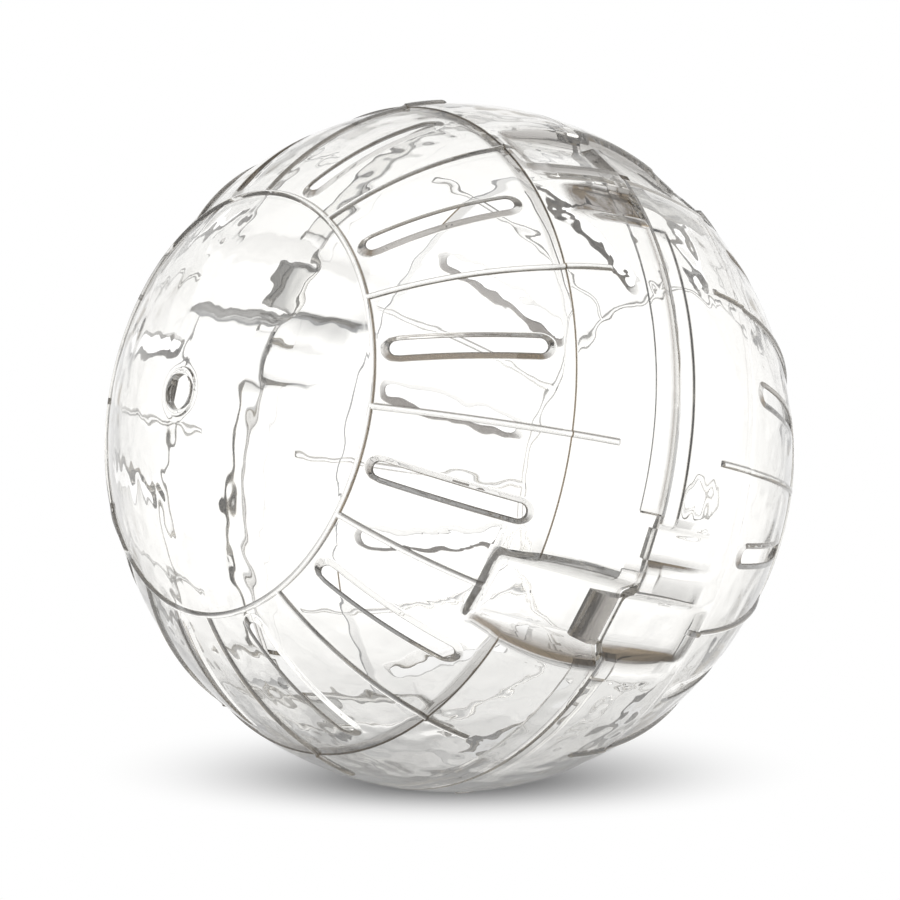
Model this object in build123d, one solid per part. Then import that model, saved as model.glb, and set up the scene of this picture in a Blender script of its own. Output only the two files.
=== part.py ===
from build123d import *
import os
from math import asin, cos, degrees, radians, sin, sqrt, tan

# A clear two-piece exercise ball for a small pet, in millimetres, +Z up, centred on the ball.
# The ball's axis is X. The parting plane is x = 0, and the left half's pole points to -X.
# Latitude is measured from the parting plane towards a half's own pole. Clock angles turn
# about +X from +Y towards +Z. Both halves are one moulding, turned end for end.

os.makedirs("parts", exist_ok=True)

# The round body
outer_diameter = 178.0
wall = 2.2
band_step = 0.6
band_riser = 0.33
band_edge_latitude = 19.3
band_blend_length = 2.8
seam_gap = 0.2
seam_chamfer = 0.5

# The axle hole at each pole, with its raised rim
pole_bore_diameter = 9.0
boss_diameter = 12.6
boss_height = 0.8

# A raised ring round each cap, and ribs that run from it to the seam band
cap_ring_radius = 0.8
cap_ring_latitude = 52.4
rib_count = 12
rib_width = 1.6
rib_height = 0.8
rib_rounding = 0.5
rib_end_latitude = 10.9
rib_end_run = 1.2

# Air slots, one between each two ribs, each with a flared lip outside
slot_width = 3.9
slot_lip_width = 1.65
slot_lip_depth = 1.15
slot_low_latitude = 22.3
slot_high_latitude = 51.4

# Clips: each half has two long thumb pockets and, a quarter turn on, two short scoops.
# A tongue on each scoop reaches across the seam into the other half's thumb pocket.
clip_clock = 30.0
clip_wall = 2.0
clip_side_slope = 42.0
clip_corner_radius = 1.6
tongue_width = 13.6
tongue_side_room = 1.0
tongue_thickness = 2.0
tongue_reach = 10.0
tongue_step = 0.7
tongue_step_reach = 1.1
tongue_peak_reach = 6.0
tongue_peak_length = 2.7
tongue_peak_height = 1.6
tongue_tip_thickness = 1.2
tongue_floor_room = 0.2
scoop_depth = 4.0
pocket_length = 37.0
pocket_tilt = 8.0
pocket_end_slope = 45.0

# Locating scoops beside the short scoops, each with a lip that crosses the seam
key_offset_angle = 14.75
key_depth = 2.0
key_width = 8.8
key_side_slope = 30.0
key_lip_reach = 1.2
key_lip_thickness = 1.3
key_lip_side_room = 0.4
key_notch_angle = 9.8

# The thicker rim inside the seam, and the lap rim that reaches into the other half
rim_width = 6.0
rim_thickness = 1.2
key_relief_width = 4.5
lap_reach = 6.0
lap_room = 0.2
lap_end_angle = 11.0
lap_end_room_angle = 0.5
lap_lead_in = 0.5

outer_radius = outer_diameter / 2
cap_radius = outer_radius - band_step
inner_radius = outer_radius - wall
bore_radius = pole_bore_diameter / 2
boss_radius = boss_diameter / 2
rim_x = -seam_gap / 2
rib_pitch = 360 / rib_count
quarter = 90.0
half_turn = 180.0
long_cut = outer_diameter


def on_sphere(radius, latitude):
    """The point of the left half's profile at this radius and latitude."""
    return (-radius * sin(radians(latitude)), radius * cos(radians(latitude)))


def height_at(radius, x):
    """How far a sphere's profile stands from the axis at this x."""
    return sqrt(radius**2 - x**2)


def x_at(radius, height):
    """Where the left half's profile stands at this height from the axis."""
    return -sqrt(radius**2 - height**2)


def clocked(shape, angle):
    return Rot(angle, 0, 0) * shape


def filled_half():
    """The outside form as a solid: the seam band, its riser and blend, the cap and its ring, and the boss."""
    riser_latitude = band_edge_latitude + degrees(band_riser / outer_radius)
    riser_foot = on_sphere(outer_radius - band_riser, riser_latitude)
    blend_latitude = riser_latitude + degrees(band_blend_length / outer_radius)
    middle_latitude = (blend_latitude + degrees(asin(x_at(cap_radius, boss_radius) / -cap_radius))) / 2
    chamfer_x = rim_x - seam_chamfer
    boss_x = x_at(cap_radius, boss_radius) - boss_height
    band_start = (chamfer_x, height_at(outer_radius, chamfer_x))
    cap_start = on_sphere(cap_radius, blend_latitude)
    towards_seam = (cos(radians(blend_latitude)), sin(radians(blend_latitude)))
    with BuildLine() as outline:
        Polyline((rim_x, 0), (rim_x, height_at(outer_radius, rim_x) - seam_chamfer), band_start)
        ThreePointArc(band_start, on_sphere(outer_radius, band_edge_latitude / 2),
                      on_sphere(outer_radius, band_edge_latitude))
        Line(on_sphere(outer_radius, band_edge_latitude), riser_foot)
        TangentArc(cap_start, riser_foot, tangent=towards_seam)
        ThreePointArc(cap_start, on_sphere(cap_radius, middle_latitude),
                      (x_at(cap_radius, boss_radius), boss_radius))
        Polyline((x_at(cap_radius, boss_radius), boss_radius), (boss_x, boss_radius), (boss_x, 0), (rim_x, 0))
    ring = Pos(*on_sphere(cap_radius, cap_ring_latitude)) * Circle(cap_ring_radius)
    return revolve(make_face(outline.line) + ring, Axis.X)


def rib():
    """A rib with a rounded back: along the cap, up over the band's step, and down to the band at its end."""
    low_radius = inner_radius + (cap_radius - inner_radius) / 2
    cap_back = cap_radius + rib_height
    band_back = outer_radius + rib_height
    step_latitude = band_edge_latitude + degrees((band_riser + band_blend_length) / outer_radius)
    end_latitude = rib_end_latitude + degrees(rib_end_run / outer_radius)
    with BuildLine() as outline:
        Line(on_sphere(low_radius, cap_ring_latitude), on_sphere(cap_back, cap_ring_latitude))
        ThreePointArc(on_sphere(cap_back, cap_ring_latitude),
                      on_sphere(cap_back, (cap_ring_latitude + step_latitude) / 2),
                      on_sphere(cap_back, step_latitude))
        Line(on_sphere(cap_back, step_latitude), on_sphere(band_back, band_edge_latitude))
        ThreePointArc(on_sphere(band_back, band_edge_latitude),
                      on_sphere(band_back, (band_edge_latitude + end_latitude) / 2),
                      on_sphere(band_back, end_latitude))
        Polyline(on_sphere(band_back, end_latitude), on_sphere(outer_radius, rib_end_latitude),
                 on_sphere(low_radius, rib_end_latitude))
        ThreePointArc(on_sphere(low_radius, rib_end_latitude),
                      on_sphere(low_radius, (rib_end_latitude + cap_ring_latitude) / 2),
                      on_sphere(low_radius, cap_ring_latitude))
    solid = extrude(make_face(outline.line), rib_width / 2, both=True)
    for side in (1, -1):
        backs = [edge for edge in solid.edges()
                 if side * edge.center().Z > rib_width / 4 and edge.center().length > cap_radius + rib_height / 2]
        solid = fillet(backs, rib_rounding)
    return solid


def slot_cut():
    """A round-ended slot with a flared lip: its section carried along the meridian and turned at each end."""
    throat = slot_width / 2
    inside = inner_radius - wall
    lip_foot = cap_radius - slot_lip_depth
    outside = outer_radius + rib_height
    mouth = throat + (outside - lip_foot) * slot_lip_width / slot_lip_depth
    end_angle = degrees((throat + slot_lip_width) / cap_radius)
    start = slot_low_latitude + end_angle
    stop = slot_high_latitude - end_angle
    half = Plane.YZ * Polyline((inside, 0), (inside, throat), (lip_foot, throat), (outside, mouth), (outside, 0),
                               close=True)
    whole = Plane.YZ * Polyline((inside, -throat), (lip_foot, -throat), (outside, -mouth), (outside, mouth),
                                (lip_foot, throat), (inside, throat), close=True)
    run = Rot(0, 0, start) * revolve(make_face(whole), Axis.Z, revolution_arc=stop - start)
    round_end = revolve(make_face(half), Axis.Y, revolution_arc=half_turn)
    return run + Rot(0, 0, start) * round_end + Rot(0, 0, stop) * Rot(0, half_turn, 0) * round_end


def tray(plane, floor_width, length, side_slope, end_slope, height, corner):
    """A flared tray standing on a floor plane, open past the seam at the plane's origin."""
    past = rim_width
    faces = []
    for level in (0, height):
        half_width = floor_width / 2 + level * tan(radians(side_slope))
        end = length + level * tan(radians(end_slope))
        middle = (end - past) / 2
        outline = RectangleRounded(end + past, 2 * half_width, corner)
        faces.append(plane.offset(level) * Pos(middle, 0) * outline)
    return loft(faces, ruled=True)


def tray_wall(plane, floor_width, length, side_slope, end_slope, height, corner, thickness):
    """The same tray with its floor, sides and end moved out by a wall's thickness."""
    side = thickness / cos(radians(side_slope)) - thickness * tan(radians(side_slope))
    end = thickness / cos(radians(end_slope)) - thickness * tan(radians(end_slope))
    return tray(plane.offset(-thickness), floor_width + 2 * side, length + end, side_slope, end_slope,
                height + thickness, corner)


def floor_plane(height, tilt):
    """A floor this far from the axis at the seam, sinking by the tilt towards the pole."""
    return Plane(origin=(0, height, 0), x_dir=(-cos(radians(tilt)), -sin(radians(tilt)), 0),
                 z_dir=(-sin(radians(tilt)), cos(radians(tilt)), 0))


scoop_floor = outer_radius - scoop_depth
tongue_floor = scoop_floor - tongue_thickness
pocket_floor = tongue_floor - tongue_floor_room
key_floor = outer_radius - key_depth
pocket_tray = (floor_plane(pocket_floor, pocket_tilt), tongue_width + 2 * tongue_side_room, pocket_length,
               clip_side_slope, pocket_end_slope, outer_radius - pocket_floor + 3 * scoop_depth,
               clip_corner_radius)
scoop_tray = (floor_plane(scoop_floor, 0), tongue_width, outer_radius, clip_side_slope, 0,
              2 * scoop_depth, clip_corner_radius)
key_tray = (floor_plane(key_floor, 0), key_width, outer_radius, key_side_slope, 0, 2 * key_depth,
            clip_corner_radius)


def tongue():
    """The scoop's floor carried on across the seam, thinned at its root, with a flat-topped ridge on its back."""
    root = rim_x - tongue_thickness
    root_top = scoop_floor - tongue_step
    peak = scoop_floor + tongue_peak_height
    side = Polyline((root, tongue_floor), (tongue_reach, tongue_floor),
                    (tongue_reach, tongue_floor + tongue_tip_thickness), (tongue_peak_reach, peak),
                    (tongue_peak_reach - tongue_peak_length, peak), (tongue_step_reach, root_top),
                    (root, root_top), close=True)
    return extrude(make_face(side), tongue_width / 2, both=True)


def key_lip():
    """The key scoop's floor, thinned to pass under the other half's wall."""
    low = key_floor - clip_wall
    root = rim_x - clip_wall
    side = Polyline((root, low), (key_lip_reach, low), (key_lip_reach, low + key_lip_thickness),
                    (root, low + key_lip_thickness), close=True)
    return extrude(make_face(side), key_width / 2 - key_lip_side_room, both=True)


def ring_arc(section, start, end):
    return clocked(revolve(make_face(section), Axis.X, revolution_arc=end - start), start)


def rim_section(width):
    """The thicker rim's section, rooted in the middle of the wall."""
    low = inner_radius - rim_thickness
    root = inner_radius + wall / 2
    return Polyline((rim_x, low), (rim_x, root), (-width, root), (-width, low), close=True)


def lap_section():
    """The lap rim's section: rooted in this half's wall, and clear of the other half's inside."""
    low = inner_radius - rim_thickness - lap_room
    root = inner_radius + wall / 2
    lap_radius = inner_radius - lap_room
    lead_x = lap_reach - lap_lead_in
    with BuildLine() as outline:
        Polyline((rim_x, height_at(lap_radius, rim_x)), (rim_x, root), (-rim_width, root), (-rim_width, low),
                 (lap_reach, low), (lap_reach, height_at(lap_radius, lead_x) - lap_lead_in),
                 (lead_x, height_at(lap_radius, lead_x)))
        ThreePointArc((lead_x, height_at(lap_radius, lead_x)),
                      (lead_x / 2, height_at(lap_radius, lead_x / 2)),
                      (rim_x, height_at(lap_radius, rim_x)))
    return outline.line


def rims():
    """Thicker rim between the clips, with gaps for the other half's lips, and the lap rim below the pocket."""
    scoop = clip_clock + quarter
    other_key = scoop + quarter - key_offset_angle
    gap = key_notch_angle / 2
    lap_stop = lap_end_angle - lap_end_room_angle
    pieces = [
        ring_arc(rim_section(rim_width), scoop - lap_stop, other_key - gap),
        ring_arc(rim_section(rim_width), other_key + gap, scoop + quarter),
        ring_arc(rim_section(rim_width), scoop + half_turn, other_key + half_turn - gap),
        ring_arc(rim_section(rim_width), other_key + half_turn + gap, clip_clock + 2 * half_turn + lap_stop),
        ring_arc(lap_section(), clip_clock + half_turn + lap_end_angle, scoop + half_turn - lap_end_angle),
    ]
    reliefs = [
        ring_arc(Polyline((rim_x, 0), (rim_x, inner_radius), (-key_relief_width, inner_radius),
                          (-key_relief_width, 0), close=True), own_key - gap, own_key + gap)
        for own_key in (scoop + key_offset_angle, scoop + half_turn + key_offset_angle)
    ]
    return [piece - reliefs for piece in pieces]


def half_shell():
    envelope = filled_half()
    walls = []
    voids = []
    tongues = []
    for turn in (0, half_turn):
        pocket_clock = clip_clock + turn
        scoop_clock = pocket_clock + quarter
        key_clock = scoop_clock + key_offset_angle
        for shape, clock in ((pocket_tray, pocket_clock), (scoop_tray, scoop_clock), (key_tray, key_clock)):
            walls.append(clocked(tray_wall(*shape, clip_wall), clock) & envelope)
            voids.append(clocked(tray(*shape), clock))
        tongues.append(clocked(tongue(), scoop_clock))
        tongues.append(clocked(key_lip(), key_clock))
    ribs = [clocked(rib(), number * rib_pitch) for number in range(rib_count)]
    slots = [clocked(slot_cut(), (number + 0.5) * rib_pitch) for number in range(rib_count)]
    bore = Rot(0, 90, 0) * Cylinder(bore_radius, 2 * long_cut)
    body = envelope - Sphere(inner_radius)
    body = body + ribs + walls + rims()
    body = body - voids - slots - bore
    return body + tongues


left = half_shell()
turn_clock = radians(clip_clock + 1.5 * quarter)
right = left.rotate(Axis((0, 0, 0), (0, cos(turn_clock), sin(turn_clock))), half_turn)

export_step(left, "parts/left_half_shell.step")
export_step(right, "parts/right_half_shell.step")
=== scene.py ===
from math import cos, radians, sin

import bpy
import numpy as np
from mathutils import Matrix, Vector


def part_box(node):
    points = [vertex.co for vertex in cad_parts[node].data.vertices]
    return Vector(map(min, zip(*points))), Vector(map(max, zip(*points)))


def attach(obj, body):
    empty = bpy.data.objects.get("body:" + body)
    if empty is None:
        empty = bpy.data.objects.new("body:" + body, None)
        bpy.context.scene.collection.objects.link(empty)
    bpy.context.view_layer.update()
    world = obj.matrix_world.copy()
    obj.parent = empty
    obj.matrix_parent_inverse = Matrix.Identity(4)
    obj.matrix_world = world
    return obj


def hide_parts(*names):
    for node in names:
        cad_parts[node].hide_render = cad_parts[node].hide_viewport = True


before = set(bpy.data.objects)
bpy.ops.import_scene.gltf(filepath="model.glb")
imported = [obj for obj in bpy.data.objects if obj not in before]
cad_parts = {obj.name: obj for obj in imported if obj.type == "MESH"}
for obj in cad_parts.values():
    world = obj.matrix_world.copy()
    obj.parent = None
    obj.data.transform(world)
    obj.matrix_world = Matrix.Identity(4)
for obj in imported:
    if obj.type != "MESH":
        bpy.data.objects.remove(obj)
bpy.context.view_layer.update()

# The half shell, moulded in clear polystyrene in a two-part mould. Both halves come from the same mould:
# a ribbed and slotted bowl with an axle hole, two thumb pockets, two scoops that carry hook tongues, and
# two keys. It is drawn here once, with its pole towards -X, in millimetres and degrees.
MM = 0.001
ball_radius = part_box("left_half_shell")[1].y / MM
wall = 2.2
inside_radius = ball_radius - wall
band_step = 0.6
cap_radius = ball_radius - band_step
seam_half_gap, seam_chamfer = 0.1, 0.5
band_edge, band_blend, step_riser = 19.3, 2.8, 0.33
ring_latitude = 52.4
bead_radius, bead_foot = 0.8, 0.3
rib_pitch, rib_end, rib_end_run = 30.0, 10.9, 1.2
slot_low, slot_high, slot_throat = 22.3, 51.4, 1.95
slot_lip_width, slot_lip_depth, slot_edge_round, slot_end_flare = 1.65, 1.15, 0.3, 1.6
window_low, window_high, window_half_width = 21.6, 51.6, 4.1
bore_radius, bore_edge, boss_radius, boss_height = 4.5, 0.4, 6.3, 0.8
rim_width, rim_thickness = 6.0, 1.2
rim_edge = np.degrees(np.arcsin(rim_width / inside_radius))

# The clips of the half shell: clock angles of their middles, then the sizes of their trays, tongues and lips.
# The other half is turned about the line at turn_clock, so each tongue meets a pocket and each key a notch.
turn_clock = 165.0
pocket_clocks = (30.0, 210.0)
scoop_clocks = (120.0, 300.0)
key_clocks = (134.75, 314.75)
notch_clocks = (15.25, 195.25)
notch_half_angle = 4.9
clip_wall, clip_slope = 2.0, 42.0
tongue_half_width, tongue_reach, tongue_thickness = 6.8, 10.0, 2.0
tongue_step, tongue_step_reach, tip_thickness = 0.7, 1.1, 1.2
peak_reach, peak_length, peak_height = 6.0, 2.7, 1.6
scoop_depth, scoop_tilt, scoop_length, scoop_end_slope, scoop_last = 4.0, 3.0, 25.8, 64.0, 17.8
pocket_room, pocket_side_room = 0.2, 1.0
pocket_tilt, pocket_length, pocket_end_slope, pocket_last = 8.0, 37.0, 45.0, 26.5
key_depth, key_half_width, key_slope = 2.0, 4.4, 30.0
key_reach, key_thickness, key_room = 1.2, 1.3, 0.4
lap_start, lap_end, lap_reach, lap_room, lap_side_room = 221.0, 289.0, 6.0, 0.2, 0.3
lap_middle, half_lap = (lap_start + lap_end) / 2, (lap_end - lap_start) / 2
scoop_floor = ball_radius - scoop_depth
tongue_floor = scoop_floor - tongue_thickness
pocket_floor = tongue_floor - pocket_room
pocket_half_width = tongue_half_width + pocket_side_room
key_floor = ball_radius - key_depth
half_tongue = np.degrees(np.arctan(tongue_half_width / scoop_floor))
side_corner, end_corner, brim_round, inner_round = 1.6, 2.4, 1.3, 0.9


def arc_angle(length, radius):
    """The angle in degrees that an arc of this length covers."""
    return np.degrees(length / radius)


def ramp(value, start, full):
    """Nought up to the start, one from the full value on, and a smooth step between."""
    share = np.clip((value - start) / (full - start), 0, 1)
    return share**2 * (3 - 2 * share)


def smooth_min(a, b, width):
    """The lesser of two surfaces, with a parabola of the given width rounding the corner where they cross."""
    near = np.maximum(width - np.abs(a - b), 0) / width
    return np.minimum(a, b) - near**2 * width / 4


def smooth_max(a, b, width):
    """The greater of two surfaces, rounded in the same way."""
    return -smooth_min(-a, -b, width)


def turn_from(clock, centre):
    """Signed angle from a centre clock, wrapped to within half a turn."""
    return (clock - centre + 180) % 360 - 180


def within(clock, centres, half_angle):
    """True where a clock angle lies within the half angle of any of the centres."""
    return np.min([np.abs(turn_from(clock, centre)) for centre in centres], axis=0) < half_angle


# Rows of the half shell's mesh, as latitudes from the seam to the pole. They gather where the skin bends.
first_row, rim_row, band_row, scoop_end_row, row_gap = 0.7, 3.9, 5.0, 16.8, 0.2
pocket_end_row, pocket_past_row = 24.7, 27.7
cap_last, inside_cap_last = 84.8, 86.2


def body_latitudes():
    """Latitudes of the rows beside the slots, close together where the thumb pockets end."""
    return np.concatenate([np.linspace(window_low, pocket_end_row - 0.5, 4),
                           np.linspace(pocket_end_row, pocket_past_row, 7),
                           np.linspace(pocket_past_row + 1, window_high, 14)])


def outer_profile():
    """Latitude and radius of the outside from the seam to the axle hole, and the rows that each form takes.

    The step is a short S, its blend a parabola, the ring a half circle and the boss a rounded rim."""
    chamfer_rad = ball_radius - seam_chamfer * np.array([1.0, 0.44, 0.0])
    chamfer_x = seam_half_gap + seam_chamfer * np.array([0.0, 0.4, 1.0])
    full_rib = rib_end + arc_angle(rib_end_run, ball_radius)
    band_lat = np.concatenate([
        np.linspace(first_row, rim_row, 4), np.linspace(band_row, rib_end - row_gap, 6),
        np.linspace(rib_end, full_rib, 6),
        np.linspace(full_rib + 2 * row_gap, scoop_end_row - 3 * row_gap, 4),
        np.linspace(scoop_end_row, band_edge - row_gap, 7), [band_edge - 0.06]])
    riser_lat = band_edge + np.array([0.0, 0.06, 0.13, 0.19])
    riser_rad = ball_radius - step_riser * np.array([0.1, 0.4, 0.75, 0.95])
    share = np.linspace(0, 1, 5)
    blend_lat = riser_lat[-1] + 0.05 + arc_angle(band_blend, ball_radius) * share
    blend_rad = cap_radius + (band_step - step_riser) * (1 - share)**2
    body_lat = body_latitudes()
    turn = np.linspace(0, np.pi, 11)
    foot = arc_angle(bead_radius + bead_foot, cap_radius)
    ring_run = np.concatenate([[foot], arc_angle(bead_radius, cap_radius) * np.cos(turn), [-foot]])
    ring_rad = cap_radius + bead_radius * np.concatenate([[0], np.sin(turn), [0]])
    cap_lat = np.linspace(ring_latitude + foot + 0.3, cap_last, 12)
    boss_top = np.sqrt(cap_radius**2 - boss_radius**2) + boss_height
    boss_rho = boss_radius + np.array([0.55, 0.18, 0.03, 0.0, -0.07, -0.3, -1.3, -1.62, -1.77, -1.8])
    boss_x = boss_top - np.array([0.84, 0.74, 0.55, 0.28, 0.08, 0.0, 0.0, 0.06, 0.2, 0.45])
    runs = {
        "chamfer": (np.degrees(np.arctan2(chamfer_x, chamfer_rad)), chamfer_rad),
        "band": (band_lat, np.full(band_lat.size, ball_radius)),
        "riser": (riser_lat, riser_rad),
        "blend": (blend_lat, blend_rad),
        "body": (body_lat, np.full(body_lat.size, cap_radius)),
        "ring": (ring_latitude - ring_run, ring_rad),
        "cap": (cap_lat, np.full(cap_lat.size, cap_radius)),
        "boss": (np.degrees(np.arctan2(boss_x, boss_rho)), np.hypot(boss_x, boss_rho)),
    }
    lats, rads = zip(*runs.values())
    stops = np.cumsum([lat.size for lat in lats])
    rows = {form: slice(stop - lat.size, stop) for form, lat, stop in zip(runs, lats, stops)}
    return np.concatenate(lats), np.concatenate(rads), rows


def inner_profile():
    """Latitude and radius of the inside from the axle hole to the seam, and the slots' first row."""
    hole_x = np.sqrt(inside_radius**2 - bore_radius**2)
    edge = bore_edge * np.array([0.0, 0.25, 1.0])
    edge_rho, edge_x = bore_radius + edge, hole_x + edge[::-1]
    cap_lat = np.linspace(inside_cap_last, window_high + 1.2, 10)
    low_lat = np.linspace(window_low - 1, band_row, 9)
    rim_lat = rim_edge + np.array([0.45, 0.16, 0.05, 0.0, -0.08, -0.3])
    seam_lat = np.array([2.9, 1.9, 0.9, 0.066])
    lat = np.concatenate([np.degrees(np.arctan2(edge_x, edge_rho)), cap_lat, body_latitudes()[::-1],
                          low_lat, rim_lat, seam_lat])
    rad = np.full(lat.size, inside_radius)
    rad[:edge.size] = np.hypot(edge_x, edge_rho)
    return lat, rad, edge.size + cap_lat.size


outer_lat, outer_rad, outer_rows = outer_profile()
inner_lat, inner_rad, inner_window = inner_profile()
outer_window = outer_rows["body"].start
window_rows = body_latitudes().size - 1

# Columns of the half shell's mesh. Each rib has as many columns on both sides, up to the middle of the gap.
# They gather at the rib's flanks, at the slot's window and, near the seam, at the edges of the clips. Those
# are angles from the rib beside them, or a tray's named edge and an angle from it.
side_columns, foot_column, window_column = 22, 6, 17
window_columns = 2 * (side_columns - window_column)
clip_fade = (17.6, 21.2)
fan_fade = (ring_latitude + 1, ring_latitude + 23)
least_flare = 1.2
notch_near, notch_far = (9.7, 10.0), (10.2, 10.5)
lap_sides = (10.6, 10.9, 11.2)
tongue_sides = (3.7, 4.55, 4.60)
key_low_sides, key_high_sides = (11.2, 11.8, 12.06, 12.11), (11.65, 12.25, 12.57, 12.62)
pocket_edges = {8: ("floor", -1.0), 11: ("floor", 0.3), 13: ("brim", -0.75), 16: ("brim", 0.8)}
tongue_edges = dict(zip((8, 10, 11), tongue_sides))
lap_edges = dict(zip((17, 18, 19), lap_sides))
seam_edges = {
    (0, 1): dict(zip((13, 14), notch_far)),
    (30, -1): {**pocket_edges, **dict(zip((17, 18), notch_near))},
    (30, 1): {**pocket_edges, **lap_edges},
    (120, -1): {**tongue_edges, 15: ("mouth", 0), **lap_edges},
    (120, 1): {**tongue_edges, 14: ("mouth", 0), **dict(zip(range(15, 21), notch_near + key_low_sides))},
    (150, -1): dict(zip(range(15, 21), notch_far + key_high_sides)),
}


def tray_edge_angles(lat, floor, half_floor, tilt, last):
    """Angles from a tray's middle line to the edge of its floor and to the brim of its flared side.

    The brim lies where the side plane meets the ball, found by stepping from the depth at the middle line."""
    radius = np.interp(lat, [band_edge, band_edge + 2], [ball_radius, cap_radius])
    lat = np.radians(np.minimum(lat, last))
    tilt, flare = np.radians(tilt), np.tan(np.radians(clip_slope))
    level = floor * np.cos(tilt)
    towards = np.sin(lat) * np.sin(tilt) + np.cos(lat) * np.cos(tilt)
    floor_edge = np.arcsin(half_floor * towards / (level * np.cos(lat)))
    brim = floor_edge
    for step in range(4):
        depth = radius * (np.sin(lat) * np.sin(tilt) + np.cos(lat) * np.cos(brim) * np.cos(tilt)) - level
        brim = np.arcsin((half_floor + np.maximum(depth, 0) * flare) / (radius * np.cos(lat)))
    floor_edge, brim = np.degrees(floor_edge), np.degrees(brim)
    return floor_edge, np.maximum(brim, floor_edge + least_flare)


def column_angles(lat):
    """Clock angle of every column at every latitude: even runs of columns between the named edges.

    The edges of the clips hold near the seam, the slots' window above them, and an even fan at the cap."""
    lat = lat[:, None]
    parallel = cap_radius * np.maximum(np.cos(np.radians(lat)), 0.02)
    to_body, to_even = ramp(lat, *clip_fade), ramp(lat, *fan_fade)
    half_pitch = rib_pitch / 2
    flank = np.sin(np.linspace(0, np.pi / 2, foot_column)) * arc_angle(bead_radius, parallel)
    foot = arc_angle(bead_radius + bead_foot, parallel)
    window = half_pitch - arc_angle(window_half_width, parallel)
    plain = {foot_column: foot, window_column: window, side_columns: half_pitch + 0 * lat}
    mouth = tray_edge_angles(lat, scoop_floor, tongue_half_width, scoop_tilt, scoop_last)[1]
    floor_edge, brim = tray_edge_angles(lat, pocket_floor, pocket_half_width, pocket_tilt, pocket_last)
    named = {"mouth": mouth, "floor": floor_edge, "brim": brim}
    fan = half_pitch * np.arange(side_columns + 1) / side_columns
    sides = []
    for rib in np.arange(0, 360, rib_pitch):
        for side in (-1, 1):
            edges = seam_edges.get((rib % 180, side), {})
            angle = np.zeros((lat.size, side_columns + 1))
            angle[:, :foot_column] = flank
            marks = sorted(set(plain) | set(edges))
            places = []
            for mark in marks:
                if mark < window_column:
                    body = foot + (window - foot) * (mark - foot_column) / (window_column - foot_column)
                else:
                    share = (mark - window_column) / (side_columns - window_column)
                    body = window + (half_pitch - window) * share
                near_seam = edges.get(mark, plain.get(mark, body))
                if isinstance(near_seam, tuple):
                    near_seam = named[near_seam[0]] + near_seam[1]
                near_seam = near_seam + 0 * lat
                if rib % 180 == pocket_clocks[0] and mark in pocket_edges:
                    body = near_seam
                places.append(near_seam + (body - near_seam) * to_body)
            for first, last, start, stop in zip(marks, marks[1:], places, places[1:]):
                angle[:, first:last + 1] = start + (stop - start) * np.linspace(0, 1, last - first + 1)
            sides.append(rib + side * (angle + (fan - angle) * to_even))
    sides = np.array(sides).reshape(-1, 2, lat.size, side_columns + 1)
    before = sides[:, 0, :, :0:-1]
    after = sides[:, 1, :, :-1]
    return np.concatenate([before, after], axis=2).transpose(1, 0, 2).reshape(lat.size, -1)


def clip_void(lat, clock, centre, floor, half_width, slope, tilt, length, end_slope, offset):
    """Radius at which a ray from the ball's centre enters a flared tray: the furthest of its floor and sides.

    The floor's plane, both side planes and the end plane are written as a n.u >= b along the ray's direction
    u, and moved towards the ball's middle by the offset to give the tray's inner wall."""
    lat, turn = np.radians(lat), np.radians(turn_from(clock, centre))
    tilt, slope, end_slope = np.radians(tilt), np.radians(slope), np.radians(end_slope)
    u_pole, u_out, u_side = np.sin(lat), np.cos(lat) * np.cos(turn), np.cos(lat) * np.sin(turn)
    u_level = u_pole * np.sin(tilt) + u_out * np.cos(tilt)
    level = floor * np.cos(tilt)
    far = 4 * ball_radius

    def entry(rate, start):
        return np.where(rate > start / far, (start - offset) / np.maximum(rate, 1e-6), far)

    surface = entry(u_level, level)
    for side in (1, -1):
        rate = u_level * np.sin(slope) + side * u_side * np.cos(slope)
        start = level * np.sin(slope) - half_width * np.cos(slope)
        surface = smooth_max(surface, entry(rate, start), side_corner)
    if length:
        u_along = u_pole * np.cos(tilt) - u_out * np.sin(tilt)
        rate = u_level * np.sin(end_slope) - u_along * np.cos(end_slope)
        start = level * np.sin(end_slope) - (length - floor * np.sin(tilt)) * np.cos(end_slope)
        surface = smooth_max(surface, entry(rate, start), end_corner)
    return surface


trays = [
    (pocket_clocks, pocket_floor, pocket_half_width, clip_slope,
     pocket_tilt, pocket_length, pocket_end_slope),
    (scoop_clocks, scoop_floor, tongue_half_width, clip_slope,
     scoop_tilt, scoop_length, scoop_end_slope),
    (key_clocks, key_floor, key_half_width, key_slope, 0.0, None, 0.0),
]
tray_half_clock = 60


def clip_surface(lat, clock, offset):
    """The lowest of all the trays: thumb pockets, scoops and keys."""
    surface = np.full(clock.shape, 4 * ball_radius)
    for centres, *sizes in trays:
        for centre in centres:
            tray = np.minimum(surface, clip_void(lat, clock, centre, *sizes, offset))
            surface = np.where(within(clock, [centre], tray_half_clock), tray, surface)
    return surface


def outer_surface(lat, base, clock):
    """Base radius plus the half-round ribs, cut down to the clips' trays."""
    nearest_rib = np.round(clock / rib_pitch) * rib_pitch
    across = np.radians(turn_from(clock, nearest_rib)) * cap_radius * np.cos(np.radians(lat))
    run = np.clip((lat - rib_end) / arc_angle(rib_end_run, ball_radius), 0, 1)
    height = bead_radius * np.sqrt(1 - (1 - run)**2) * (lat < ring_latitude)
    rib = height * np.sqrt(np.maximum(1 - (across / bead_radius)**2, 0))
    into_ring = lat > ring_latitude - 1.2
    ridge = np.where(into_ring, np.maximum(base, cap_radius + rib), base + rib)
    return smooth_min(ridge, clip_surface(lat, clock, 0.0), brim_round)


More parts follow.
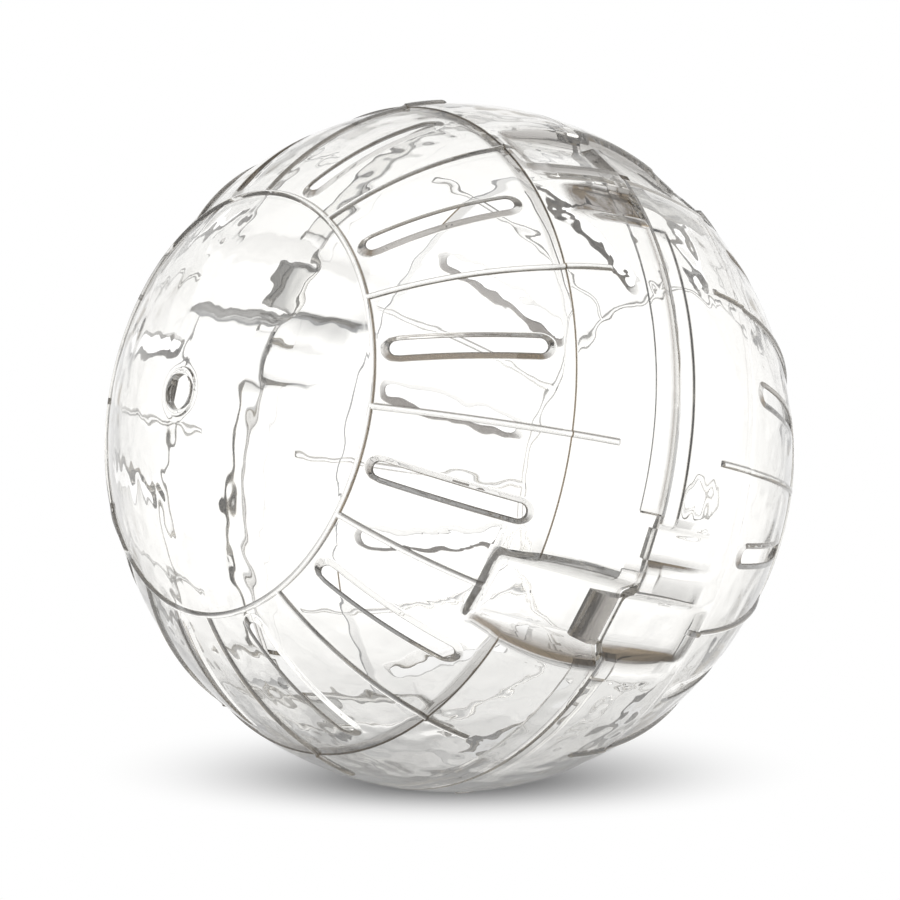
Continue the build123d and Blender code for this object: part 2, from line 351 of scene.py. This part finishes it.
def rim_share(clock):
    """One where the thicker rim runs along the inside of the seam, nought in its gaps.

    The gaps are the notches for the other half's keys, the room for its lap rim, and the clips' middles."""
    gaps = within(clock, notch_clocks, notch_half_angle)
    gaps |= within(clock, [2 * turn_clock - lap_middle], half_lap + lap_side_room)
    gaps |= within(clock, pocket_clocks + scoop_clocks, 2)
    return np.where(gaps, 0.0, 1.0)


def inner_surface(lat, base, clock):
    """The plain inside, drawn in to the rim's cylinder near the seam and to the walls of the trays."""
    rim = (inside_radius - rim_thickness) / np.cos(np.radians(lat))
    step = np.clip((rim_edge + 0.1 - lat) / 0.12, 0, 1) * rim_share(clock)
    return smooth_min(base + (rim - base) * step, clip_surface(lat, clock, clip_wall), inner_round)


def placed(lat, radius, clock):
    """Points at these latitudes, radii and clock angles, with the pole towards -X."""
    lat, clock = np.radians(lat), np.radians(clock)
    return np.stack([-radius * np.sin(lat), radius * np.cos(lat) * np.cos(clock),
                     radius * np.cos(lat) * np.sin(clock)], axis=-1)


def tongue_outline():
    """Reach past the seam and radius along a tongue: a small step, the hook's peak, tip and underside."""
    tip = tongue_floor + tip_thickness
    peak = scoop_floor + peak_height
    dip = scoop_floor - tongue_step
    return np.array([
        [0.0, scoop_floor - 0.05], [0.05, dip], [tongue_step_reach / 2, dip], [tongue_step_reach, dip],
        [peak_reach - peak_length, peak], [peak_reach, peak], [tongue_reach - 2, (tip + peak) / 2],
        [tongue_reach, tip], [tongue_reach, tongue_floor + tip_thickness / 2], [tongue_reach, tongue_floor],
        [7.0, tongue_floor], [5.0, tongue_floor], [3.0, tongue_floor], [0.3, tongue_floor]])


def lip_outline(low, top):
    """Reach past the seam and radius round a key's lip, a short plate with rounded edges."""
    return np.array([
        [-seam_half_gap, top + 0.3], [-seam_half_gap, top], [0.2, top], [0.6, top], [0.95, top],
        [key_reach - 0.1, top - 0.1], [key_reach, top - 0.3], [key_reach, low + 0.6], [key_reach, low + 0.25],
        [key_reach - 0.1, low + 0.05], [key_reach - 0.3, low], [0.6, low], [0.3, low], [0.0, low]])


def lap_outline(low, top):
    """Reach past the seam and radius round the lap rim, which thins and rounds towards its edge."""
    return np.array([
        [-seam_half_gap, top + 0.8], [-seam_half_gap, top], [0.6, top], [3.0, top - 0.05],
        [lap_reach - 0.6, top - 0.17], [lap_reach - 0.3, top - 0.4], [lap_reach, top - 0.75],
        [lap_reach, low + 0.3], [lap_reach - 0.1, low + 0.08], [lap_reach - 0.35, low],
        [4.0, low], [2.0, low], [0.7, low], [0.0, low]])


def seam_outline(clock, outer_edge, inner_edge):
    """Rows that close the seam from its outer to its inner edge.

    They run straight across the seam's face, but go out and back along the outline of a tongue, a key's lip
    or the lap rim where the moulding has one. Beside the lap rim they lie level with it and close its ends."""
    lip_low = key_floor - clip_wall
    lip_top = lip_low + key_thickness
    lap_top = inside_radius - lap_room
    rim_low = inside_radius - rim_thickness
    tongue = tongue_outline()
    lip = lip_outline(lip_low, lip_top)
    lap = lap_outline(rim_low - lap_room, lap_top)
    share = np.linspace(0, 1, len(lap) + 2)[1:-1, None, None]
    rows = outer_edge + (inner_edge - outer_edge) * share
    across, up = np.cos(np.radians(clock)), np.sin(np.radians(clock))
    past_lap = np.abs(turn_from(clock, lap_middle)) - half_lap
    lap_ends = (past_lap >= 0) & (past_lap < 0.25)
    end_face = np.append(lap[0, 1], np.linspace(lap_top, rim_low + 0.03, len(lap) - 1))[:, None]
    rows[:, lap_ends, 1] = end_face * across[lap_ends]
    rows[:, lap_ends, 2] = end_face * up[lap_ends]
    half_lip = np.degrees(np.arctan((key_half_width - key_room) / lip_top))
    outlines = [(tongue, centre, half_tongue, True) for centre in scoop_clocks]
    outlines += [(lip, centre, half_lip, True) for centre in key_clocks]
    outlines.append((lap, lap_middle, half_lap, False))
    for outline, centre, half_angle, flat in outlines:
        turn = turn_from(clock, centre)
        inside = np.abs(turn) < half_angle
        out = outline[:, 1:] / (np.cos(np.radians(turn)) if flat else np.ones(turn.shape))
        points = np.stack([outline[:, :1] + 0 * out, out * across, out * up], axis=-1)
        rows[:, inside] = points[:, inside]
    return rows


def window_loop():
    """Row and column steps once round a slot's window, counted from its first corner."""
    rows = np.concatenate([np.zeros(window_columns), np.arange(window_rows),
                           np.full(window_columns, window_rows), np.arange(window_rows, 0, -1)])
    columns = np.concatenate([np.arange(window_columns), np.full(window_rows, window_columns),
                              np.arange(window_columns, 0, -1), np.zeros(window_rows)])
    return rows.astype(int), columns.astype(int)


def window_loop_points():
    """Latitude and clock angle, from the slot's middle, of the points round its window."""
    rows, columns = window_loop()
    first = side_columns + window_column
    lat = outer_lat[outer_window:outer_window + window_rows + 1]
    clock = column_angles(lat)[:, first:first + window_columns + 1] - rib_pitch / 2
    return np.stack([lat[rows], clock[rows, columns]], axis=-1)


def slot_rings(clock_centre):
    """Rings from a slot's window outside, down its wall and out over its flared lip to the window inside.

    A ring's point lies at a distance from the slot's middle line, in the direction of the window's own point.
    The lip is an S from the throat to the inside, and is longer at the slot's ends."""
    middle = (slot_low + slot_high) / 2
    half_length = np.radians(slot_high - slot_low) / 2 * cap_radius
    half_length = half_length - slot_throat - slot_end_flare * slot_lip_width
    window = window_loop_points()
    along = np.radians(window[:, 0] - middle) * cap_radius
    across = np.radians(window[:, 1]) * cap_radius * np.cos(np.radians(window[:, 0]))
    spine = np.clip(along, -half_length, half_length)
    away = np.stack([along - spine, across], axis=-1)
    away /= np.linalg.norm(away, axis=-1, keepdims=True)
    lip_run = np.array([0.0, 0.04, 0.12, 0.3, 0.6, 0.84, 0.94, 1.0])
    lip_rise = np.array([1.08, 0.97, 0.86, 0.66, 0.34, 0.08, 0.01, 0.0])
    edge = np.linspace(np.pi / 2, 0, 4)
    spread = np.concatenate([[1.5 * slot_edge_round], slot_edge_round * (1 - np.cos(edge)),
                             slot_lip_width * lip_run, [slot_lip_width + 0.1]])[:, None]
    radius = np.concatenate([[cap_radius], cap_radius - slot_edge_round * (1 - np.sin(edge)),
                             inside_radius + slot_lip_depth * lip_rise, [inside_radius]])
    at_along = spine + (slot_throat + slot_end_flare * spread) * away[:, 0]
    at_across = (slot_throat + spread) * away[:, 1]
    lat = middle + np.degrees(at_along / cap_radius)
    clock = clock_centre + np.degrees(at_across / (cap_radius * np.cos(np.radians(lat))))
    return placed(lat, radius[:, None] + 0 * lat, clock)


# Kinds of skin on the half shell, which differ in how much painted shade they get where they lean.
PLAIN, POCKET, TONGUE, RISER, BORE, SLOT, TRAY_INSIDE, BLEND, SCOOP, KEY, RING, KEY_INSIDE = range(12)
pocket_half_clock, tray_margin, least_depth = 14, 0.3, 0.5
key_block_half_clock, key_block_last = 3.4, 14
bore_edge_rows, hook_rows = slice(0, 3), slice(4, 10)


def outside_kinds(clock):
    """Kind of skin at every point of the outside."""
    lat = outer_lat[:, None]
    in_tray = clip_surface(lat, clock, 0.0) < outer_rad[:, None] + tray_margin
    in_pocket = within(clock, pocket_clocks, pocket_half_clock)
    kind = np.where(in_tray, np.where(in_pocket, POCKET, SCOOP), PLAIN)
    kind[within(clock, key_clocks, key_block_half_clock) & (lat < key_block_last)] = KEY
    riser = outer_rows["riser"]
    blend = slice(outer_rows["blend"].start, outer_rows["blend"].stop - 1)
    kind[riser] = np.where(in_tray[riser], kind[riser], RISER)
    kind[blend] = np.where(in_tray[blend], kind[blend], BLEND)
    kind[outer_rows["boss"]] = BORE
    kind[outer_rows["ring"]] = RING
    return kind


def inside_kinds(clock):
    """Kind of skin at every point of the inside."""
    lat = inner_lat[:, None]
    in_tray = clip_surface(lat, clock, clip_wall) < inner_rad[:, None] + tray_margin
    in_key = within(clock, key_clocks, key_block_half_clock) & (lat < key_block_last)
    kind = np.where(in_key, KEY_INSIDE, np.where(in_tray, TRAY_INSIDE, PLAIN))
    kind[bore_edge_rows] = BORE
    return kind


def half_shell_mesh():
    """Vertices, four-sided faces, kinds of skin and share of a tray's depth, for the whole moulding.

    One grid runs from the seam over the outside to the axle hole, back along the inside and across the seam,
    and a ring of faces goes through the wall at each slot, in place of the faces of its windows."""
    outer_clock, inner_clock = column_angles(outer_lat), column_angles(inner_lat)
    outer_radii = outer_surface(outer_lat[:, None], outer_rad[:, None], outer_clock)
    inner_radii = inner_surface(inner_lat[:, None], inner_rad[:, None], inner_clock)
    outer = placed(outer_lat[:, None], outer_radii, outer_clock)
    inner = placed(inner_lat[:, None], inner_radii, inner_clock)
    seam = seam_outline(outer_clock[0], outer[0], inner[-1])[::-1]
    grid = np.concatenate([outer, inner, seam])
    rows, columns = grid.shape[:2]
    number = np.arange(rows * columns).reshape(rows, columns)
    row, column = np.meshgrid(np.arange(rows), np.arange(columns), indexing="ij")
    down, over = (row + 1) % rows, (column + 1) % columns
    faces = np.stack([number[row, column], number[down, column],
                      number[down, over], number[row, over]], axis=-1)
    first_inner = len(outer) + inner_window
    in_column = (column - side_columns - window_column) % (2 * side_columns) < window_columns
    in_outer = (row >= outer_window) & (row < outer_window + window_rows)
    in_inner = (row >= first_inner) & (row < first_inner + window_rows)
    seam_kind = np.full(seam.shape[:2], PLAIN)
    seam_kind[hook_rows, within(outer_clock[0], scoop_clocks, half_tongue)] = TONGUE
    depth = np.maximum(outer_rad[:, None] - outer_radii, 0)
    deepest = np.maximum(depth.max(axis=1, keepdims=True), least_depth)
    vertices = [grid.reshape(-1, 3)]
    polygons = [faces[~(in_column & (in_outer | in_inner))]]
    kinds = [outside_kinds(outer_clock).ravel(), inside_kinds(inner_clock).ravel(), seam_kind.ravel()]
    depths = [(depth / deepest).ravel(), np.zeros((rows - len(outer)) * columns)]
    loop_rows, loop_columns = window_loop()
    start = rows * columns
    for slot in range(int(360 / rib_pitch)):
        rings = slot_rings((slot + 0.5) * rib_pitch)
        column_at = (slot * 2 * side_columns + side_columns + window_column + loop_columns) % columns
        ring_numbers = start + np.arange(rings.shape[0] * rings.shape[1]).reshape(rings.shape[:2])
        start += ring_numbers.size
        outside = number[outer_window + loop_rows, column_at]
        inside = number[first_inner + window_rows - loop_rows, column_at]
        chain = np.concatenate([outside[None], ring_numbers, inside[None]])
        ahead = np.roll(chain, -1, axis=1)
        strip = np.stack([chain[:-1], chain[1:], ahead[1:], ahead[:-1]], axis=-1)
        vertices.append(rings.reshape(-1, 3))
        polygons.append(strip.reshape(-1, 4))
        kinds.append(np.full(ring_numbers.size, SLOT))
        depths.append(np.zeros(ring_numbers.size))
    return np.concatenate(vertices), np.concatenate(polygons), np.concatenate(kinds), np.concatenate(depths)


# Painted shade on the moulding's skin, in place of the studio's light: the side where its darker reflections
# would come from, the side where the ring's painted shade is taken off, the angles of lean over which each
# form is painted darker, and how dark it gets.
shade_side = np.array([0.5, -0.4, 0.77])
rim_side = np.array([-0.77, 0.61, -0.13])
rib_lean, bead_lean, wall_lean, key_lean, ring_lean = (10, 45), (25, 60), (8, 32), (8, 25), (5, 40)
upright_lean, edge_on_lean = (60, 80), (72, 88)
rib_tone, rib_shade_tone = 0.3, 0.56
wall_tone, wall_shade_tone = 0.2, 0.8
ring_tone, ring_shade_tone, ring_edge_tone, ring_side_loss = 0.06, 0.94, 0.7, 0.9
tongue_tone, bore_tone, inside_tone, key_tone, blend_tone = 0.82, 0.1, 0.25, 0.3, 0.5
deep_loss, lengthways_loss, low_loss = 0.9, 0.95, 0.4
inside_key_shade_share = 0.6
sharp_angle = radians(34)


def unit(vectors):
    """The vectors at length one."""
    return vectors / np.maximum(np.linalg.norm(vectors, axis=1, keepdims=True), 1e-6)


def painted_skin_shade(vertices, normals, kinds, depths):
    """How much painted shade the skin gets at each point, nought to one, and how much the keys' blocks get.

    Skin that follows the ball is left clear. The painted shade grows as the skin leans away from the ball's
    own direction, and more where it leans to the shade side, in place of the view that the skin turns away to
    the studio's darker side. The lower ribs and slots get less of it, and only the upper keys' blocks are
    painted."""
    outward = unit(vertices)
    facing = (normals * outward).sum(axis=1)
    lean = np.degrees(np.arccos(np.minimum(np.abs(facing), 1)))
    sideways = unit(normals - facing[:, None] * outward)
    shaded = np.clip(0.5 + sideways @ shade_side, 0, 1)
    meridian = unit(np.array([1.0, 0, 0]) - outward[:, :1] * outward)
    along = (sideways * meridian).sum(axis=1)
    seamward = -np.sign(outward[:, 0]) * along
    height = outward[:, 2]
    low = 1 - low_loss * ramp(-height, 0.2, 0.8)
    bead = ramp(lean, *bead_lean) * (0.5 + 0.5 * shaded)
    slope_shade = np.maximum(shaded, ramp(lean, *upright_lean))
    slope = ramp(lean, *wall_lean) * (wall_tone + wall_shade_tone * slope_shade)
    tray = slope * (1 - deep_loss * ramp(depths, 0.45, 0.75))
    ring_shade = ramp(seamward, -0.3, 0.6) * ramp(shaded, 0.3, 0.8)
    ring = ramp(lean, *ring_lean) * (ring_tone + ring_shade_tone * ring_shade)
    ring = np.maximum(ring, ring_edge_tone * ramp(lean, *edge_on_lean))
    painted_shades = {
        PLAIN: ramp(lean, *rib_lean) * (rib_tone + rib_shade_tone * shaded) * low,
        POCKET: tray * (1 - lengthways_loss * along**2),
        TONGUE: np.maximum(bead, tongue_tone),
        RISER: np.ones(len(vertices)),
        BORE: bore_tone * bead,
        SLOT: slope * low,
        TRAY_INSIDE: inside_tone * slope,
        BLEND: np.maximum(bead, blend_tone * ramp(np.abs(height), 0.15, 0.75)),
        SCOOP: tray,
        KEY: np.maximum(tray, key_tone * ramp(lean, *key_lean)),
        RING: ring * (1 - ring_side_loss * ramp(outward @ rim_side, 0.7, 0.9)),
        KEY_INSIDE: inside_tone * slope,
    }
    # The painted shade of each point, chosen by its kind of skin.
    painted_shade = np.choose(kinds, [painted_shades[kind] for kind in sorted(painted_shades)])
    # Painted shade on the keys' thick blocks, on the upper side of the ball only.
    painted_key_shade = ((kinds == KEY) + inside_key_shade_share * (kinds == KEY_INSIDE)) * ramp(height, 0.3, 0.6)
    return painted_shade, painted_key_shade


def shell_object(name, vertices, faces, kinds, depths):
    """The mesh as an object, with its skin's and keys' painted shade as attributes of its points."""
    mesh = bpy.data.meshes.new(name)
    mesh.from_pydata((vertices * MM).tolist(), [], faces.tolist())
    mesh.validate()
    mesh.shade_smooth()
    normals = np.empty(3 * len(vertices))
    mesh.vertex_normals.foreach_get("vector", normals)
    painted_shade, painted_key_shade = painted_skin_shade(vertices, normals.reshape(-1, 3), kinds, depths)
    # The painted shade goes to the material as attributes of the points.
    mesh.attributes.new("painted_shade", "FLOAT", "POINT").data.foreach_set("value", painted_shade.astype(np.float32))
    mesh.attributes.new("painted_key_shade", "FLOAT", "POINT").data.foreach_set("value", painted_key_shade.astype(np.float32))
    mesh.set_sharp_from_angle(angle=sharp_angle)
    piece = bpy.data.objects.new(name, mesh)
    bpy.context.scene.collection.objects.link(piece)
    return piece


def put(tree, value, socket):
    """Link an output to a socket, or set the socket to a plain value."""
    if isinstance(value, bpy.types.NodeSocket):
        tree.links.new(value, socket)
    else:
        socket.default_value = value


def calculated(tree, operation, *values, clamp=False):
    """The result of a sum on outputs and plain values."""
    node = tree.nodes.new("ShaderNodeMath")
    node.operation = operation
    node.use_clamp = clamp
    for value, socket in zip(values, node.inputs):
        put(tree, value, socket)
    return node.outputs["Value"]


def ranged(tree, value, span, results=(0.0, 1.0), smooth=False):
    """A value carried from its span to the range of results, in a straight line or a smooth step."""
    node = tree.nodes.new("ShaderNodeMapRange")
    node.interpolation_type = "SMOOTHSTEP" if smooth else "LINEAR"
    put(tree, value, node.inputs["Value"])
    node.inputs["From Min"].default_value, node.inputs["From Max"].default_value = span
    node.inputs["To Min"].default_value, node.inputs["To Max"].default_value = results
    return node.outputs["Result"]


def mixed_colour(tree, share, first, second):
    """A colour that goes from the first to the second with the share."""
    node = tree.nodes.new("ShaderNodeMix")
    node.data_type = "RGBA"
    put(tree, share, node.inputs["Factor"])
    put(tree, first, node.inputs["A"])
    put(tree, second, node.inputs["B"])
    return node.outputs["Result"]


def attribute(tree, name):
    """The value of an attribute of the mesh's points."""
    node = tree.nodes.new("ShaderNodeAttribute")
    node.attribute_name = name
    return node.outputs["Fac"]


def noise(tree, place, scale, detail=2.0):
    """Soft noise with this many spots to a metre."""
    node = tree.nodes.new("ShaderNodeTexNoise")
    node.inputs["Scale"].default_value = scale
    node.inputs["Detail"].default_value = detail
    put(tree, place, node.inputs["Vector"])
    return node.outputs["Fac"]


def clear_plastic(name):
    """Clear polystyrene from a polished mould: a little wavy where the melt flowed, and faintly hazed.

    Skin that leans gets a painted shade from the mesh's attributes, a warm grey where it is seen first and a
    cool grey through a nearer wall. The upper keys' thick blocks get a streaky painted shade."""
    material = bpy.data.materials.new(name)
    material.use_nodes = True
    tree = material.node_tree
    shader = tree.nodes["Principled BSDF"]
    shader.inputs["Transmission Weight"].default_value = 1.0
    shader.inputs["IOR"].default_value = 1.57
    place = tree.nodes.new("ShaderNodeTexCoord").outputs["Object"]
    ray = tree.nodes.new("ShaderNodeLightPath")
    through_wall = ranged(tree, ray.outputs["Transmission Depth"], (1.0, 3.0))
    # Painted shade: warm grey on the wall seen first, cool grey through a nearer wall.
    painted_line_shade = mixed_colour(tree, through_wall, (0.063, 0.041, 0.021, 1), (0.085, 0.088, 0.094, 1))
    streaks = ranged(tree, noise(tree, place, 260.0), (0.35, 0.6), (0.75, 1.0))
    painted_key_shade = calculated(tree, "MULTIPLY", attribute(tree, "painted_key_shade"), streaks)
    darkness = calculated(tree, "MAXIMUM", attribute(tree, "painted_shade"), painted_key_shade)
    # The clear colour darkened towards the painted shade.
    base_with_painted_shade = mixed_colour(tree, darkness, (0.995, 0.991, 0.978, 1), painted_line_shade)
    put(tree, base_with_painted_shade, shader.inputs["Base Color"])
    flow = noise(tree, place, 45.0)
    put(tree, ranged(tree, flow, (0.4, 0.75), (0.0, 0.03)), shader.inputs["Roughness"])
    bump = tree.nodes.new("ShaderNodeBump")
    bump.inputs["Strength"].default_value = 1.0
    bump.inputs["Distance"].default_value = 0.0007
    put(tree, flow, bump.inputs["Height"])
    put(tree, bump.outputs["Normal"], shader.inputs["Normal"])
    return material


shell_points, shell_faces, shell_kinds, shell_depths = half_shell_mesh()
plastic = clear_plastic("clear_polystyrene")
left_shell = shell_object("left_shell", shell_points, shell_faces, shell_kinds, shell_depths)
left_shell.data.materials.append(plastic)
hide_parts("left_half_shell")
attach(left_shell, "left_half")

# The right half: the same moulding in the same clear plastic, turned end for end about the line midway
# between the clips. Its tongues snap into the left half's pockets, and its keys and lap rim slide into it.
turn_line = np.array([0.0, np.cos(np.radians(turn_clock)), np.sin(np.radians(turn_clock))])
along_line = (shell_points * turn_line).sum(axis=1, keepdims=True)
turned_points = 2 * along_line * turn_line - shell_points
right_shell = shell_object("right_shell", turned_points, shell_faces, shell_kinds, shell_depths)
right_shell.data.materials.append(plastic)
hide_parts("right_half_shell")
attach(right_shell, "right_half")

# The camera stands well back. The ball's axis makes this angle with the line of sight and rises to the left
# in the picture, and a rib lies just below the middle of the side that faces the camera.
axis_turn, axis_rise, rib_drop = radians(51.478), radians(11.673), radians(6.4)
camera_distance = float(20 * ball_radius * MM)
camera_drop = 0.0074 * ball_radius * MM
pole = Vector((-1, 0, 0))
facing = Vector((0, -cos(rib_drop), -sin(rib_drop)))
upward = Vector((0, -sin(rib_drop), cos(rib_drop)))
sine, cosine = sin(axis_turn), cos(axis_turn)
across_view = cos(axis_rise) * (cosine * facing - sine * pole) + sin(axis_rise) * upward
up_view = sin(axis_rise) * (sine * pole - cosine * facing) + cos(axis_rise) * upward
back_view = cosine * pole + sine * facing
camera_data = bpy.data.cameras.new("camera")
camera_data.sensor_width = 36
camera_data.lens = 275.5
camera = bpy.data.objects.new("camera", camera_data)
camera_turn = Matrix((across_view, up_view, back_view)).transposed().to_4x4()
camera.matrix_world = Matrix.Translation(camera_distance * back_view - camera_drop * up_view) @ camera_turn
bpy.context.scene.collection.objects.link(camera)
bpy.context.scene.camera = camera

# A plain pale floor of matt paper that the ball rests on, just under its lowest rib. It holds the ball's soft
# shadow, runs out to plain white a little way off, and is seen only from above. In metres.
camera_height = radians(6)
floor_half_size = 4.0
shadow_set_back, shadow_fade = 0.04, (0.02, 0.098)
dim_reach, dim_share, mirror_dim = (0.08, 0.36), 0.3, 0.45
seen_through_white = 0.65
backdrop_strength = (1.0, 1.18)
floor_drop = float(ball_radius + bead_radius) * MM
floor_up = cos(camera_height) * up_view + sin(camera_height) * back_view
floor_across = floor_up.orthogonal().normalized()
floor_along = floor_up.cross(floor_across)
contact = -floor_drop * floor_up
behind = (floor_up.dot(back_view) * floor_up - back_view).normalized()
corners = [contact + floor_half_size * (i * floor_across + j * floor_along)
           for i, j in ((1, 1), (-1, 1), (-1, -1), (1, -1))]
floor_mesh = bpy.data.meshes.new("floor")
floor_mesh.from_pydata(corners, [], [(0, 1, 2, 3)])
floor = bpy.data.objects.new("floor", floor_mesh)
bpy.context.scene.collection.objects.link(floor)


def blended(tree, share, first, second):
    """A shader that goes from the first to the second with the share."""
    node = tree.nodes.new("ShaderNodeMixShader")
    put(tree, share, node.inputs["Fac"])
    put(tree, first, node.inputs[1])
    put(tree, second, node.inputs[2])
    return node.outputs["Shader"]


def pale_floor(name, shadow_middle):
    """Matt paper near the ball, which fades to a plain white with the distance from the shadow's middle.

    Seen through the ball's walls it is painted whiter near by, so that the shadow doesn't fill the ball, and
    painted darker in what the walls mirror. From below it isn't there."""
    material = bpy.data.materials.new(name)
    material.use_nodes = True
    tree = material.node_tree
    paper = tree.nodes["Principled BSDF"]
    paper.inputs["Base Color"].default_value = (0.96, 0.96, 0.96, 1)
    paper.inputs["Roughness"].default_value = 1.0
    paper.inputs["Specular IOR Level"].default_value = 0.0
    ray = tree.nodes.new("ShaderNodeLightPath").outputs
    away = tree.nodes.new("ShaderNodeVectorMath")
    away.operation = "DISTANCE"
    put(tree, tree.nodes.new("ShaderNodeTexCoord").outputs["Object"], away.inputs[0])
    put(tree, shadow_middle, away.inputs[1])
    fade = ranged(tree, away.outputs["Value"], shadow_fade, smooth=True)
    seen = calculated(tree, "SUBTRACT", 1.0, ray["Is Diffuse Ray"], clamp=True)
    faded = calculated(tree, "MULTIPLY", fade, seen)
    # Painted light: seen through the plastic, the paper is whitened, so its shadow doesn't show through.
    lifted = ranged(tree, ray["Is Transmission Ray"], (0.0, 1.0), (0.0, seen_through_white))
    white = tree.nodes.new("ShaderNodeEmission")
    through = ranged(tree, ray["Is Transmission Ray"], (0.0, 1.0), backdrop_strength)
    put(tree, through, white.inputs["Strength"])
    whitened = calculated(tree, "MAXIMUM", faded, lifted)
    spread = blended(tree, whitened, paper.outputs["BSDF"], white.outputs["Emission"])
    inside_ball = calculated(tree, "MINIMUM", ray["Transmission Depth"], 1.0)
    near_ball = ranged(tree, away.outputs["Value"], dim_reach, (dim_share, 0.0), smooth=True)
    once = calculated(tree, "MINIMUM", ray["Glossy Depth"], 1.0)
    mirrored = calculated(tree, "MULTIPLY_ADD", once, mirror_dim, near_ball, clamp=True)
    # Painted shade: a black surface mixed in near the ball and in what the plastic mirrors, for rays inside
    # it.
    dark = tree.nodes.new("ShaderNodeEmission")
    dark.inputs["Strength"].default_value = 0.0
    shade = calculated(tree, "MULTIPLY", mirrored, inside_ball)
    dimmed = blended(tree, shade, spread, dark.outputs["Emission"])
    backfacing = tree.nodes.new("ShaderNodeNewGeometry").outputs["Backfacing"]
    see_through = tree.nodes.new("ShaderNodeBsdfTransparent").outputs["BSDF"]
    one_sided = blended(tree, backfacing, dimmed, see_through)
    put(tree, one_sided, tree.nodes["Material Output"].inputs["Surface"])
    return material


floor_mesh.materials.append(pale_floor("pale_floor", contact + shadow_set_back * behind))

# Soft studio light: a white surround that is dimmer overhead, and warm and dim where light has run along
# inside the plastic's walls, with one wide soft box above the camera's side.
overhead, overhead_level = (0.3, 0.7), 0.88
guided_bounces, guided_colour = 5.0, (0.34, 0.31, 0.26, 1)
lamp_distance, lamp_size, lamp_energy = 1.3, 1.2, 5
light_bounces = 40
world = bpy.data.worlds.new("studio")
bpy.context.scene.world = world
world.use_nodes = True
tree = world.node_tree
background = tree.nodes["Background"]
ray = tree.nodes.new("ShaderNodeLightPath").outputs
height = tree.nodes.new("ShaderNodeVectorMath")
height.operation = "DOT_PRODUCT"
put(tree, tree.nodes.new("ShaderNodeTexCoord").outputs["Generated"], height.inputs[0])
put(tree, floor_up, height.inputs[1])
ceiling = ranged(tree, height.outputs["Value"], overhead, (1.0, overhead_level), smooth=True)
inside_ball = calculated(tree, "MINIMUM", ray["Transmission Depth"], 1.0)
guided = ranged(tree, ray["Glossy Depth"], (0.0, guided_bounces))
guided_inside = calculated(tree, "MULTIPLY", guided, inside_ball, clamp=True)
put(tree, mixed_colour(tree, guided_inside, (1, 1, 1, 1), guided_colour), background.inputs["Color"])
through = ranged(tree, ray["Is Transmission Ray"], (0.0, 1.0), backdrop_strength)
backdrop = calculated(tree, "MULTIPLY", ceiling, through)
put(tree, calculated(tree, "MAXIMUM", backdrop, ray["Is Camera Ray"]), background.inputs["Strength"])

soft_box = bpy.data.lights.new("soft_box", "AREA")
soft_box.shape = "RECTANGLE"
soft_box.size, soft_box.size_y = lamp_size, lamp_size
soft_box.energy = lamp_energy
lamp = bpy.data.objects.new("soft_box", soft_box)
lamp_side = (0.8 * floor_up + 0.6 * back_view).normalized()
lamp_turn = lamp_side.to_track_quat("Z", "Y").to_matrix().to_4x4()
lamp.matrix_world = Matrix.Translation(lamp_distance * lamp_side) @ lamp_turn
bpy.context.scene.collection.objects.link(lamp)

bpy.context.scene.view_settings.view_transform = "Standard"
cycles = bpy.context.scene.cycles
cycles.max_bounces = light_bounces
cycles.transmission_bounces = light_bounces
cycles.glossy_bounces = light_bounces
cycles.transparent_max_bounces = 16
cycles.sample_clamp_indirect = 6.0
cycles.caustics_refractive = False
